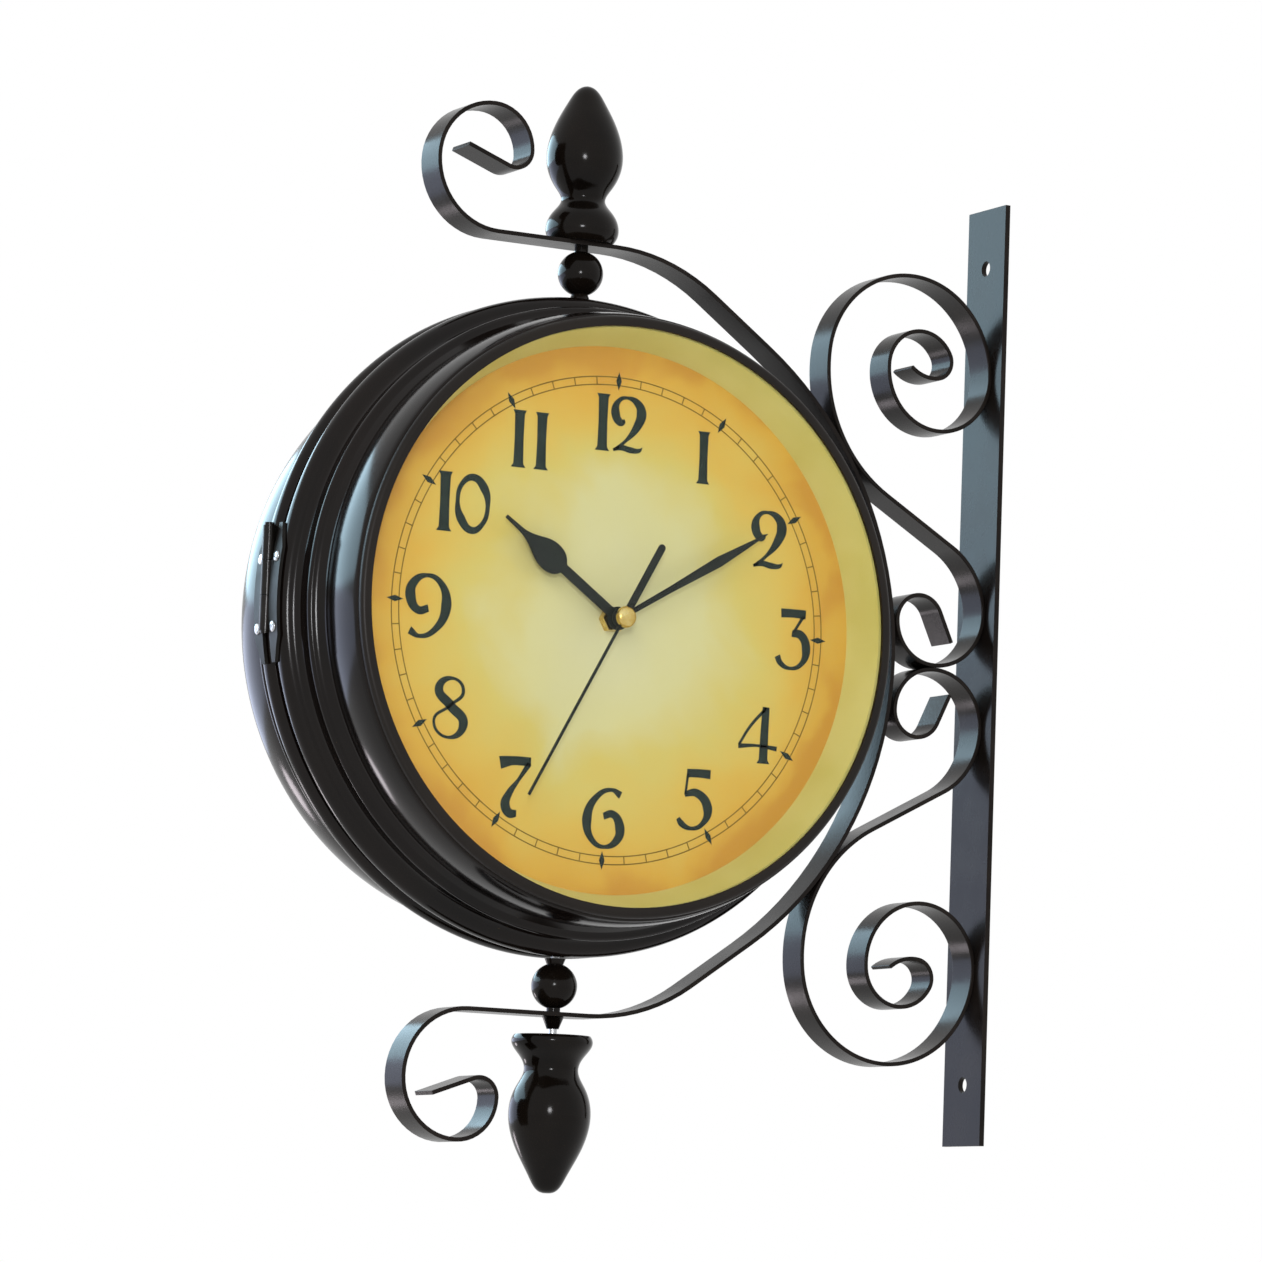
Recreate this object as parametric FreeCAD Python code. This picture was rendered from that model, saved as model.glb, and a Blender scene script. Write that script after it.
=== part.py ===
import FreeCAD, Part
import math
import os

os.makedirs("parts", exist_ok=True)
Vec = FreeCAD.Vector

# Bracket. The origin lies on the wall, midway between the two screw holes.
reach = 170.0             # wall to the clock's upright axis
bracket_drop = 2.0        # bar's middle below the clock's middle
bar_h = 342.0
bar_w = 25.0
bar_t = 2.0
screw_hole_d = 5.5
screw_hole_inset = 22.0   # hole centre to the bar's end
strip_w = 13.0            # flat strip of the hoop and the scrolls
strip_t = 1.5
weld_gap = 0.05

# Hoop and its end curls, radii on the middle of the strip
hoop_gap = 13.3           # case bead to hoop
hoop_arc_deg = 55.0       # true arc, above and below the level of the axis
hoop_bend_r = 70.0        # bend into the level run over the ball
curl_start = 36.3         # axis to where the level run curls up
curl_base_r = 24.0
curl_side_r = 21.0
curl_top_r = 15.1
curl_eye_r = 6.6
curl_eye_deg = 110.0
curl_tail = 17.0
quarter_deg = 90.0

# Scroll: bends as shares of the room between the hoop and the bar, which its small loop fills
scroll_tail_share = 0.374 # less the strip's thickness
scroll_eye_share = 0.26
scroll_side_share = 0.55
scroll_lean_share = 0.748
scroll_shoulder_share = 1.44
scroll_eye_deg = 155.0
scroll_foot_deg = 80.0
scroll_least_lean_deg = 59.0
scroll_touch_deg = 25.7   # shoulder's turn up to where it touches the hoop
scroll_past_deg = 6.0     # shoulder's turn past upright
# inward turns of its large loop: share of the loop's radius, and degrees
scroll_loop_shares = [(0.63, 185.0), (0.40, 146.0), (0.19, 110.0), (0.41, 50.0)]

# Case profile: radii step outward from the glass opening
opening_r = 100.0
lip_w = 3.8
lip_step = 0.7
barrel_foot = 1.0
barrel_rise = 1.7
cove_rise = 3.6
ridge_rise = 1.2
bead_foot_rise = 3.0
bead_rise = 3.4
groove_depth = 3.5        # bead crest down to the band in the seam groove
rim_t = 0.9
shell_wall = 1.2

# Case profile: depths step outward from the seam
groove_w = 3.8
bead_w = 8.0
slope_w = 3.6
waist_w = 4.0
ridge_w = 3.2
cove_w = 4.5
barrel_w = 19.5
lip_h = 2.9
lip_round = 1.8
lip_wall = 1.2
quarter_mid_share = 0.293
barrel_crest_share = 0.55

# Centre band and its screws
band_w = 14.0
band_t = 2.0
band_clear = 0.3
band_screw_deg = [45.0, 135.0, 225.0, 315.0]
band_screw_y = 4.4
band_screw_r = 1.2
band_screw_bite = 2.0
band_head_r = 2.2
band_head_h = 1.4
thread_fit = 0.05
run_fit = 0.05

# Turned balls, rods, nuts
run_gap = 0.3             # ball foot and washer to the turning case
ball_d = 16.0
foot_h = 1.5
foot_r = 3.7
foot_top_r = 2.5
neck_h = 1.2
neck_r = 2.4
rod_d = 3.0
rod_end = 1.5             # rod past its nut
washer_r = 3.4
washer_t = 0.5
nut_flats = 5.5
nut_h = 2.4
cone_nut_h = 4.2
cone_nut_r = 3.8
cone_nut_tip_r = 2.1

# Finials: outline as shares of the largest radius and of the height
top_finial_r = 13.5
top_finial_h = 56.5
top_finial_shares = [
    (0.80, 0.0), (0.955, 0.095), (0.81, 0.185), (0.575, 0.272), (0.76, 0.36), (1.0, 0.53), (0.93, 0.66),
    (0.73, 0.785), (0.47, 0.90), (0.19, 0.985), (0.0, 1.0),
]
bottom_finial_r = 14.3
bottom_finial_h = 54.5
bottom_finial_hang = 6.4  # hoop to the finial's top
bottom_finial_shares = [
    (0.93, 0.0), (0.99, 0.04), (0.72, 0.16), (0.66, 0.22), (0.84, 0.33), (1.0, 0.51), (0.82, 0.71),
    (0.45, 0.90), (0.20, 0.99), (0.0, 1.0),
]
finial_bore_depth = 12.0

# Glass, pale bezel ring, dial and dial screws
glass_t = 1.6
glass_clear = 0.3
dial_depth = 16.7         # lip's front to the dial's face
dial_t = 1.0
ring_reveal = 0.2
ring_taper = 4.8
ring_t = 0.9
lug_h = 4.0
lug_half_deg = 2.2
lug_in = 3.0
dial_screw_deg = [45.0, 135.0, 225.0, 315.0]
dial_screw_r = 1.2
dial_head_r = 2.0
dial_head_h = 1.2

# Movement box with its cell and knob
box_w = 56.0
box_t = 15.6
cell_d = 14.4
cell_l = 50.5
cell_fit = 0.3
cell_floor = 0.8
cell_margin = 2.0         # cell pocket to the box's lower edge
bush_r = 3.3
bush_show = 0.6
shaft_nut_h = 3.5
shaft_nut_flats = 8.2
arbor_in = 6.0
knob_r = 5.5
knob_h = 5.0
knob_shaft_r = 1.2
knob_shaft_l = 3.0

# Hands, stacked outward from the dial
hand_t = 0.7
hand_first_gap = 0.9
hand_pitch = 2.4
tube_show = 0.5
hour_tube_r = 2.6
minute_tube_r = 1.85
second_pin_r = 0.9
hour_hub_r = 4.1
minute_hub_r = 3.7
second_hub_r = 3.3
cap_r = 3.75
cap_h = 2.4
cap_wall = 0.6
hour_len = 54.5
hour_bulb_w = 10.6
hour_bulb_shares = [
    (0.170, 0.490), (0.390, 0.525), (0.500, 0.600), (0.440, 0.675), (0.260, 0.750),
    (0.130, 0.815), (0.085, 0.860),
]
hour_tip_share = 0.055
minute_len = 66.5
minute_w = 3.7
minute_shares = [(0.230, 0.0), (0.300, 0.333), (0.500, 0.667), (0.260, 0.860), (0.060, 1.0)]
second_len = 72.5
second_w = 1.0
second_tail = 30.0
second_tail_w = 2.7
hour_deg = 305.0
minute_deg = 58.8
second_deg = 208.5

# Hinge on the seam, at the side away from the wall
knuckle_r = 2.2
knuckle_out = 0.9         # barrel's axis past the bead's crest
knuckle_gap = 0.3
knuckle_count = 3
barrel_inset = 11.0       # leaf's lower end to the barrel
pin_r = 0.9
pin_head_r = 1.7
pin_head_h = 1.0
leaf_seat = 0.05
leaf_t = 1.2
leaf_w = 9.0
leaf_h = 48.0
leaf_lift = 1.7
leaf_taper = 9.0
leaf_end_w = 2.5
leaf_clear = 0.4
tab_t = 3.4
leaf_screw_pitch = 24.0
leaf_screw_r = 0.9
leaf_screw_bite = 1.6
leaf_head_r = 1.9
leaf_head_h = 0.8

# Spring catch inside the band, facing the wall
catch_t = 0.8
catch_gap = 0.5
catch_tail = 5.0
catch_reach = 6.0
catch_half_deg = 2.5
overrun = 2.0

halvings = 40
half_turn = 180.0
full_turn = 360.0
origin = Vec(0, 0, 0)
across = Vec(0, 1, 0)     # the dials' axis
upright = Vec(0, 0, 1)
sideways = Vec(1, 0, 0)

# Case radii and depths, worked out from the steps above
lip_r = opening_r + lip_w
front_r = lip_r + lip_step
barrel_foot_r = front_r + barrel_foot
barrel_r = front_r + barrel_rise
waist_r = barrel_foot_r + cove_rise
ridge_r = waist_r + ridge_rise
bead_foot_r = waist_r + bead_foot_rise
seam_r = bead_foot_r + bead_rise
band_r = seam_r - groove_depth
band_in_r = band_r - band_t
band_seat_r = band_r + band_clear
rim_r = band_seat_r + rim_t
waist_in_r = waist_r - shell_wall
barrel_in_r = barrel_foot_r - shell_wall
front_in_r = lip_r - shell_wall
rim_d = groove_w / 2
bead_d = rim_d + bead_w
slope_d = bead_d + slope_w
waist_d = slope_d + waist_w
ridge_d = waist_d + ridge_w
cove_d = ridge_d + cove_w
barrel_d = cove_d + barrel_w
half_d = barrel_d + lip_h
lip_in_d = half_d - lip_wall
ledge_d = band_w / 2 + band_clear
glass_back_d = lip_in_d - glass_t
dial_face_d = half_d - dial_depth
dial_back_d = dial_face_d - dial_t
box_back_d = dial_back_d - box_t

# Heights and reaches from the case's middle
ball_seat_z = seam_r + run_gap
ball_z = ball_seat_z + foot_h + ball_d / 2
hoop_in_z = ball_z + ball_d / 2 + neck_h
hoop_out_z = hoop_in_z + strip_t
hoop_r = seam_r + hoop_gap + strip_t / 2
bottom_finial_z = hoop_out_z + bottom_finial_hang
bar_line = reach - bar_t - weld_gap - strip_t / 2
hoop_line = hoop_r + strip_t + weld_gap
scroll_room = bar_line - hoop_line
case_centre = Vec(-reach, 0, bracket_drop)


def deep(radius, depth):
    return Vec(radius, -depth, 0)


def tall(radius, height):
    return Vec(radius, 0, height)


def closed_face(start, steps, place):
    # each step is a point to draw straight to, or a pair: a point to arc through and the arc's end
    edges = []
    here = start
    for step in steps + [start]:
        if isinstance(step[0], tuple):
            through, end = step
            edges.append(Part.Arc(place(*here), place(*through), place(*end)).toShape())
        else:
            end = step
            edges.append(Part.makeLine(place(*here), place(*end)))
        here = end
    return Part.Face(Part.Wire(edges))


def ring(start, steps, degrees=full_turn):
    return closed_face(start, steps, deep).revolve(origin, across, degrees)


def block(radius_in, radius_out, depth_in, depth_out, degrees=full_turn):
    start = (radius_in, depth_in)
    return ring(start, [(radius_out, depth_in), (radius_out, depth_out), (radius_in, depth_out)], degrees)


def post(radius, base, direction, length):
    return Part.makeCylinder(radius, length, base, direction)


def dial_post(radius, depth_in, depth_out):
    return post(radius, Vec(0, -depth_in, 0), -across, depth_out - depth_in)


def turned(shape, degrees, axis=across):
    copy = shape.copy()
    copy.rotate(origin, axis, degrees)
    return copy


def at_angle(shape, degrees):
    # from the wall's side upward, as seen on the front dial
    return turned(shape, -degrees)


def shifted(shape, move):
    copy = shape.copy()
    copy.translate(move)
    return copy


def upside_down(shape):
    return turned(shape, half_turn, sideways)


def hexagon(flats, height, base):
    corner = flats / math.sqrt(3)
    points = [base + Vec(corner, 0, 0)]
    for i in range(1, 7):
        angle = math.radians(i * full_turn / 6)
        points.append(base + Vec(corner * math.cos(angle), corner * math.sin(angle), 0))
    return Part.Face(Part.makePolygon(points)).extrude(Vec(0, 0, height))


# Flat strip bent along a path of straight runs and tangent bends in the upright plane


def left_of(heading):
    return Vec(-heading.z, 0, heading.x)


class Run:
    bent = False

    def __init__(self, start, heading, length):
        self.start = start
        self.heading = heading
        self.length = length

    def place(self, share):
        # middle of the strip, and the heading there
        return self.start + self.heading * (self.length * share), self.heading


class Bend:
    bent = True

    def __init__(self, start, heading, radius, degrees):
        # positive degrees bend to the left
        self.hand = math.copysign(1, degrees)
        self.heading = heading
        self.radius = radius
        self.degrees = degrees
        self.centre = start + left_of(heading) * (self.hand * radius)

    def place(self, share):
        angle = math.radians(self.degrees * share)
        heading = self.heading * math.cos(angle) + left_of(self.heading) * math.sin(angle)
        return self.centre - left_of(heading) * (self.hand * self.radius), heading


def follow(start, heading, moves):
    # a move is a run's length, or a bend's radius and degrees
    path = []
    for move in moves:
        path.append(Bend(start, heading, *move) if isinstance(move, tuple) else Run(start, heading, move))
        start, heading = path[-1].place(1)
    return path


def strip(path):
    def edge_place(step, share, offset):
        place, heading = step.place(share)
        return place + left_of(heading) * offset

    sides = []
    for offset in (strip_t / 2, -strip_t / 2):
        edges = []
        for step in path:
            a, b, c = [edge_place(step, share, offset) for share in (0, 1 / 2, 1)]
            edges.append(Part.Arc(a, b, c).toShape() if step.bent else Part.makeLine(a, c))
        sides.append(edges)
    ends = []
    for step, share in ((path[0], 0), (path[-1], 1)):
        corners = [edge_place(step, share, offset) for offset in (strip_t / 2, -strip_t / 2)]
        ends.append(Part.makeLine(*corners))
    wire = Part.Wire([ends[0]] + sides[0] + [ends[1]] + sides[1][::-1])
    solid = Part.Face(wire).extrude(across * strip_w)
    return shifted(solid, across * (-strip_w / 2))


def mirrored(shape, plane_z):
    return shape.mirror(Vec(0, 0, plane_z), upright)


def hoop_half():
    arc = math.radians(hoop_arc_deg)
    level_z = hoop_in_z + strip_t / 2
    lead = (level_z - hoop_r * math.sin(arc) - hoop_bend_r * (1 - math.sin(arc))) / math.cos(arc)
    bent_in = hoop_r * (1 - math.cos(arc)) + lead * math.sin(arc) + hoop_bend_r * math.cos(arc)
    return strip(follow(Vec(hoop_r, 0, 0), upright, [
        (hoop_r, hoop_arc_deg),
        lead,
        (hoop_bend_r, quarter_deg - hoop_arc_deg),
        hoop_r - bent_in + curl_start,
        (curl_base_r, -quarter_deg),
        (curl_side_r, -quarter_deg),
        (curl_top_r, -quarter_deg),
        (curl_eye_r, -curl_eye_deg),
        curl_tail,
    ]))


def sweep(lean_deg):
    # height where the sweep leaves the bar, and its moves: the shoulder touches the hoop and the loop the bar
    lean = math.radians(lean_deg)
    past = math.radians(scroll_past_deg)
    touch = math.radians(lean_deg - scroll_touch_deg)
    lean_r = scroll_lean_share * scroll_room
    shoulder_r = scroll_shoulder_share * scroll_room
    centre = tall(math.cos(touch), math.sin(touch)) * (hoop_line + shoulder_r)
    loop_r = (bar_line - centre.x + shoulder_r * math.cos(past)) / (1 + math.cos(past))
    lean_end = bar_line - lean_r * (1 - math.cos(lean))
    between = (lean_end - centre.x + shoulder_r * math.cos(lean)) / math.sin(lean)
    start_z = centre.z - (shoulder_r + lean_r) * math.sin(lean) - between * math.cos(lean)
    moves = [
        (lean_r, lean_deg),
        between,
        (shoulder_r, -lean_deg - scroll_past_deg),
        (loop_r, scroll_past_deg - half_turn),
    ]
    return start_z, moves + [(share * loop_r, -degrees) for share, degrees in scroll_loop_shares]


def scroll(hoop_z):
    foot = math.radians(scroll_foot_deg)
    side_r = scroll_side_share * scroll_room
    foot_r = (scroll_room - side_r * (1 + math.cos(foot))) / (1 - math.cos(foot))
    moves = [
        scroll_tail_share * scroll_room - strip_t,
        (scroll_eye_share * scroll_room, scroll_eye_deg),
        (foot_r, scroll_foot_deg),
        (side_r, half_turn - scroll_foot_deg),
    ]
    start = math.radians(-quarter_deg - scroll_eye_deg)
    heading = Vec(math.cos(start), 0, math.sin(start))
    loop_end = follow(origin, heading, moves)[-1].place(1)[0]
    # the small loop ends upright against the bar, and its lowest point rests on the other scroll's
    seat = Vec(bar_line - reach, 0, (strip_t + weld_gap) / 2 + side_r)
    # the lean grows until the sweep starts where the small loop ends
    least, most = scroll_least_lean_deg, quarter_deg
    for _ in range(halvings):
        lean_deg = (least + most) / 2
        if hoop_z + sweep(lean_deg)[0] > seat.z:
            most = lean_deg
        else:
            least = lean_deg
    start_z, sweep_moves = sweep(least)
    # in a tight room a straight rise along the bar comes first
    rise = hoop_z + start_z - seat.z
    if rise > weld_gap:
        moves.append(rise)
    return strip(follow(seat - loop_end, heading, moves + sweep_moves))


def spin_up(edges):
    return Part.Face(Part.Wire(edges)).revolve(origin, upright, full_turn)


def finial(shares, radius, height):
    curve = Part.BSplineCurve()
    curve.interpolate([tall(r * radius, h * height) for r, h in shares])
    base = tall(shares[0][0] * radius, 0)
    tip = tall(0, height)
    solid = spin_up([curve.toShape(), Part.makeLine(tip, origin), Part.makeLine(origin, base)])
    return solid.cut(post(rod_d / 2 + thread_fit, origin, upright, finial_bore_depth))


def ball():
    sphere = Part.makeSphere(ball_d / 2, tall(0, ball_z))
    foot = Part.makeCone(foot_r, foot_top_r, foot_h * 2, tall(0, ball_seat_z))
    neck = post(neck_r, tall(0, ball_z), upright, hoop_in_z - ball_z)
    solid = sphere.fuse([foot, neck]).removeSplitter()
    bore = post(rod_d / 2 + thread_fit, tall(0, ball_seat_z - overrun), upright, hoop_in_z)
    return solid.cut(bore)


def upright_hole():
    return post(rod_d / 2 + thread_fit, tall(0, hoop_in_z - overrun), upright, strip_t + overrun * 2)


# Bracket pieces, in the case's frame except the bar and the scrolls

bar = Part.makeBox(bar_t, bar_w, bar_h, Vec(-bar_t, -bar_w / 2, -bar_h / 2))
for side in (-1, 1):
    hole_z = side * (bar_h / 2 - screw_hole_inset)
    bar = bar.cut(post(screw_hole_d / 2, Vec(-bar_t - overrun, 0, hole_z), sideways, bar_t + overrun * 2))

upper_hoop = hoop_half().cut(upright_hole())
hoop = upper_hoop.fuse(mirrored(upper_hoop, 0)).removeSplitter()

washer_z = band_in_r - run_gap - washer_t
nut_z = washer_z - nut_h
rod_low_z = nut_z - rod_end
washer = post(washer_r, tall(0, washer_z), upright, washer_t)
rod_thread = post(rod_d / 2 + thread_fit, tall(0, rod_low_z), upright, hoop_in_z - rod_low_z)
washer = washer.cut(rod_thread)
nut = hexagon(nut_flats, nut_h, tall(0, nut_z)).cut(rod_thread)
top_rod_l = hoop_out_z + finial_bore_depth - thread_fit - rod_low_z
bottom_rod_l = bottom_finial_z + finial_bore_depth - thread_fit - rod_low_z
rod_base = tall(0, rod_low_z)
cone_nut = Part.makeCone(cone_nut_r, cone_nut_tip_r, cone_nut_h, tall(0, hoop_out_z))
cone_nut = cone_nut.cut(post(rod_d / 2 + thread_fit, tall(0, hoop_out_z), upright, cone_nut_h))
top_finial = finial(top_finial_shares, top_finial_r, top_finial_h)
bottom_finial = finial(bottom_finial_shares, bottom_finial_r, bottom_finial_h)

clock = {
    "hoop": hoop,
    "top_ball": ball(),
    "bottom_ball": upside_down(ball()),
    "top_finial": shifted(top_finial, tall(0, hoop_out_z)),
    "bottom_finial": upside_down(shifted(bottom_finial, tall(0, bottom_finial_z))),
    "top_rod": post(rod_d / 2, rod_base, upright, top_rod_l),
    "bottom_rod": upside_down(post(rod_d / 2, rod_base, upright, bottom_rod_l)),
    "cone_nut": upside_down(cone_nut),
    "rod_washers": Part.makeCompound([washer, upside_down(washer)]),
    "rod_nuts": Part.makeCompound([nut, upside_down(nut)]),
}

# Case band with holes for the rods and its screws

band = block(band_in_r, band_r, -band_w / 2, band_w / 2)
rod_way = post(rod_d / 2 + run_fit, tall(0, -band_r - overrun), upright, (band_r + overrun) * 2)
band = band.cut(rod_way)


def radial_pair(head_r, head_h, shank_r, seat_r, bite, y, head_inside):
    # screw on the wall's side of the axis, and the hole that its shank needs
    outward = 1 if head_inside else -1
    head_base = seat_r - outward * head_h
    head = post(head_r, Vec(head_base, y, 0), sideways * outward, head_h)
    shank = post(shank_r, Vec(seat_r, y, 0), sideways * outward, bite)
    hole = post(shank_r + thread_fit, Vec(seat_r - outward * overrun, y, 0), sideways * outward,
                bite + overrun + thread_fit)
    return head.fuse(shank).removeSplitter(), hole


band_bite = band_t + band_clear + band_screw_bite
screw, screw_hole = radial_pair(band_head_r, band_head_h, band_screw_r, band_in_r, band_bite,
                                band_screw_y, True)
# flat under the head where the band's inner face curves away
head_flat = post(band_head_r + band_clear, Vec(band_in_r - overrun, band_screw_y, 0), sideways, overrun)
screw_holes = [at_angle(screw_hole, a) for a in band_screw_deg]
for a, hole in zip(band_screw_deg, screw_holes):
    band = band.cut(hole).cut(at_angle(head_flat, a))
clock["band_screws"] = Part.makeCompound([at_angle(screw, a) for a in band_screw_deg])

# Case shell, drawn for the front; the rear one is the same, turned half round


def quarter(start, end, hollow):
    # middle of a quarter curve; a hollow one bows to the side of the start's radius
    share = quarter_mid_share
    if hollow:
        return (start[0] + (end[0] - start[0]) * share, end[1] + (start[1] - end[1]) * share)
    return (end[0] + (start[0] - end[0]) * share, start[1] + (end[1] - start[1]) * share)


def shell():
    lip_top = (lip_r - lip_round, half_d)
    lip_side = (lip_r, half_d - lip_round)
    barrel_front = (front_r, barrel_d)
    barrel_mid = (barrel_r, cove_d + barrel_w * barrel_crest_share)
    barrel_back = (barrel_foot_r, cove_d)
    ridge_front = (waist_r, ridge_d)
    ridge_back = (waist_r, waist_d)
    slope_front = (waist_r, slope_d)
    bead_front = (bead_foot_r, bead_d)
    bead_back = (rim_r, rim_d)
    solid = ring((opening_r, half_d), [
        lip_top,
        (quarter(lip_top, lip_side, False), lip_side),
        (lip_r, barrel_d),
        barrel_front,
        (barrel_mid, barrel_back),
        (quarter(barrel_back, ridge_front, True), ridge_front),
        ((ridge_r, waist_d + ridge_w / 2), ridge_back),
        slope_front,
        (quarter(slope_front, bead_front, True), bead_front),
        ((seam_r, rim_d + bead_w / 2), bead_back),
        (band_seat_r, rim_d),
        (band_seat_r, ledge_d),
        (waist_in_r, ledge_d),
        (waist_in_r, ridge_d),
        (barrel_in_r, cove_d),
        (front_in_r, lip_in_d),
        (opening_r, lip_in_d),
    ])
    lug = block(dial_hole_r - lug_in, barrel_foot_r, dial_back_d - lug_h, dial_back_d, lug_half_deg * 2)
    lug = at_angle(lug, -lug_half_deg)
    lugs = [at_angle(lug, a) for a in dial_screw_deg]
    solid = solid.fuse(lugs).removeSplitter()
    return solid.cut([at_angle(dial_screw_hole, a) for a in dial_screw_deg])


ring_back_r = opening_r - ring_reveal - ring_taper
dial_r = front_in_r - glass_clear
dial_hole_r = (ring_back_r + ring_t + dial_r) / 2
dial_screw_hole = post(dial_screw_r + thread_fit, Vec(dial_hole_r, -dial_face_d - overrun, 0), across,
                       dial_t + lug_h + overrun * 2)
dial_screw = post(dial_head_r, Vec(dial_hole_r, -dial_face_d, 0), -across, dial_head_h)
dial_screw = dial_screw.fuse(post(dial_screw_r, Vec(dial_hole_r, -dial_face_d, 0), across, dial_t + lug_h))
dial_screw = dial_screw.removeSplitter()


def dial_side():
    # everything that one half carries, drawn for the front
    ring_front_r = opening_r - ring_reveal
    pieces = {"glass": dial_post(front_in_r - glass_clear, glass_back_d, lip_in_d)}
    pieces["bezel_ring"] = ring((ring_back_r, dial_face_d), [
        (ring_back_r + ring_t, dial_face_d),
        (ring_front_r + ring_t, glass_back_d),
        (ring_front_r, glass_back_d),
    ])
    dial = dial_post(dial_r, dial_back_d, dial_face_d)
    dial = dial.cut(dial_post(bush_r + thread_fit, dial_back_d - overrun, dial_face_d + overrun))
    pieces["dial"] = dial.cut([at_angle(dial_screw_hole, a) for a in dial_screw_deg])
    pieces["dial_screws"] = Part.makeCompound([at_angle(dial_screw, a) for a in dial_screw_deg])

    bush_d = dial_face_d + shaft_nut_h + bush_show
    arbor_d = dial_back_d - arbor_in
    box = Part.makeBox(box_w, box_t, box_w, Vec(-box_w / 2, -dial_back_d, -box_w / 2))
    box = box.fuse(dial_post(bush_r, dial_back_d, bush_d)).removeSplitter()
    box = box.cut(dial_post(hour_tube_r + run_fit, arbor_d, bush_d + overrun))
    cell_z = -box_w / 2 + cell_margin + cell_fit + cell_d / 2
    pocket_w = cell_l + cell_fit * 2
    pocket_h = cell_d + cell_fit * 2
    pocket_d = dial_back_d - cell_floor
    pocket_corner = Vec(-pocket_w / 2, -pocket_d, cell_z - pocket_h / 2)
    box = box.cut(Part.makeBox(pocket_w, box_t + overrun, pocket_h, pocket_corner))
    knob_way = dial_post(knob_shaft_r + run_fit, box_back_d - overrun, box_back_d + knob_shaft_l + run_gap)
    pieces["movement"] = box.cut(knob_way)
    cell_y = -pocket_d + cell_fit + cell_d / 2
    pieces["cell"] = post(cell_d / 2, Vec(-cell_l / 2, cell_y, cell_z), sideways, cell_l)
    nut_face = turned(hexagon(shaft_nut_flats, shaft_nut_h, origin), quarter_deg, sideways)
    shaft_nut = shifted(nut_face, Vec(0, -dial_face_d, 0))
    pieces["shaft_nut"] = shaft_nut.cut(dial_post(bush_r + thread_fit, dial_back_d, bush_d))

    knob_d = box_back_d - run_gap
    knob = dial_post(knob_r, knob_d - knob_h, knob_d)
    pieces["knob"] = knob.fuse(dial_post(knob_shaft_r, knob_d, box_back_d + knob_shaft_l)).removeSplitter()

    hour_d = bush_d + hand_first_gap
    minute_d = hour_d + hand_pitch
    second_d = minute_d + hand_pitch
    tube_in_d = arbor_d + run_gap
    tube = dial_post(hour_tube_r, tube_in_d, hour_d + hand_t + tube_show)
    hour_way = dial_post(minute_tube_r + run_fit, arbor_d, second_d)
    pieces["hour_tube"] = tube.cut(hour_way)
    tube = dial_post(minute_tube_r, tube_in_d, minute_d + hand_t + tube_show)
    minute_way = dial_post(second_pin_r + run_fit, arbor_d, second_d)
    pieces["minute_tube"] = tube.cut(minute_way)
    cap_d = second_d + hand_t
    pin_d = cap_d + cap_h - cap_wall
    pieces["second_pin"] = dial_post(second_pin_r, tube_in_d, pin_d)
    cap = dial_post(cap_r, cap_d, cap_d + cap_h)
    pieces["second_cap"] = cap.cut(dial_post(second_pin_r + thread_fit, cap_d, pin_d + thread_fit))

    pieces["hour_hand"] = hand(hour_outline(), hour_hub_r, hour_tube_r, hour_d, hour_deg)
    pieces["minute_hand"] = hand(minute_outline(), minute_hub_r, minute_tube_r, minute_d, minute_deg)
    pieces["second_hand"] = hand(second_outline(), second_hub_r, second_pin_r, second_d, second_deg)
    return pieces


def both_sides(right_edges):
    # closes a hand's outline, whose right side runs from its lower end to its tip
    edges = list(right_edges)
    for edge in right_edges:
        edges.append(edge.mirror(origin, sideways))
    for end in (right_edges[0].firstVertex().Point, right_edges[-1].lastVertex().Point):
        if end.x > 0:
            edges.append(Part.makeLine(Vec(-end.x, 0, end.z), end))
    return Part.Face(Part.Wire(Part.__sortEdges__(edges)))


def straight_edges(points):
    return [Part.makeLine(a, b) for a, b in zip(points, points[1:])]


def hour_outline():
    bulb = [tall(w * hour_bulb_w, l * hour_len) for w, l in hour_bulb_shares]
    curve = Part.BSplineCurve()
    curve.interpolate(bulb)
    arm = Part.makeLine(tall(bulb[0].x, 0), bulb[0])
    point = Part.makeLine(bulb[-1], tall(hour_tip_share * hour_bulb_w, hour_len))
    return both_sides([arm, curve.toShape(), point])


def minute_outline():
    return both_sides(straight_edges([tall(w * minute_w, l * minute_len) for w, l in minute_shares]))


def second_outline():
    tail_r = second_tail_w / 2
    tail_turn = math.radians(quarter_deg / 2)
    tail_mid = tall(tail_r * math.sin(tail_turn), -second_tail + tail_r * (1 - math.cos(tail_turn)))
    tail_side = tall(tail_r, -second_tail + tail_r)
    tail_end = Part.Arc(tall(0, -second_tail), tail_mid, tail_side).toShape()
    corners = [tail_side, tall(tail_r, 0), tall(second_w / 2, 0), tall(second_w / 2, second_len)]
    return both_sides([tail_end] + straight_edges(corners))


def hand(face, hub_r, bore_r, depth, degrees):
    plate = shifted(face.extrude(-across * hand_t), -across * depth)
    plate = plate.fuse(dial_post(hub_r, depth, depth + hand_t)).removeSplitter()
    plate = plate.cut(dial_post(bore_r + thread_fit, depth - overrun, depth + hand_t + overrun))
    return turned(plate, degrees)


front_shell = shell()
rear_shell = turned(shell(), half_turn, upright).cut(screw_holes)

# Hinge: the rear leaf carries the end knuckles and the pin, the front leaf the middle knuckle

hinge_r = seam_r + knuckle_out
leaf_in_r = seam_r + leaf_seat
leaf_out_r = leaf_in_r + leaf_t
barrel_low = leaf_lift - leaf_h / 2 + barrel_inset
barrel_h = leaf_h - barrel_inset - pin_head_h
knuckle_h = (barrel_h - knuckle_gap * (knuckle_count - 1)) / knuckle_count
axis_base = Vec(-hinge_r, 0, 0)


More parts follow.
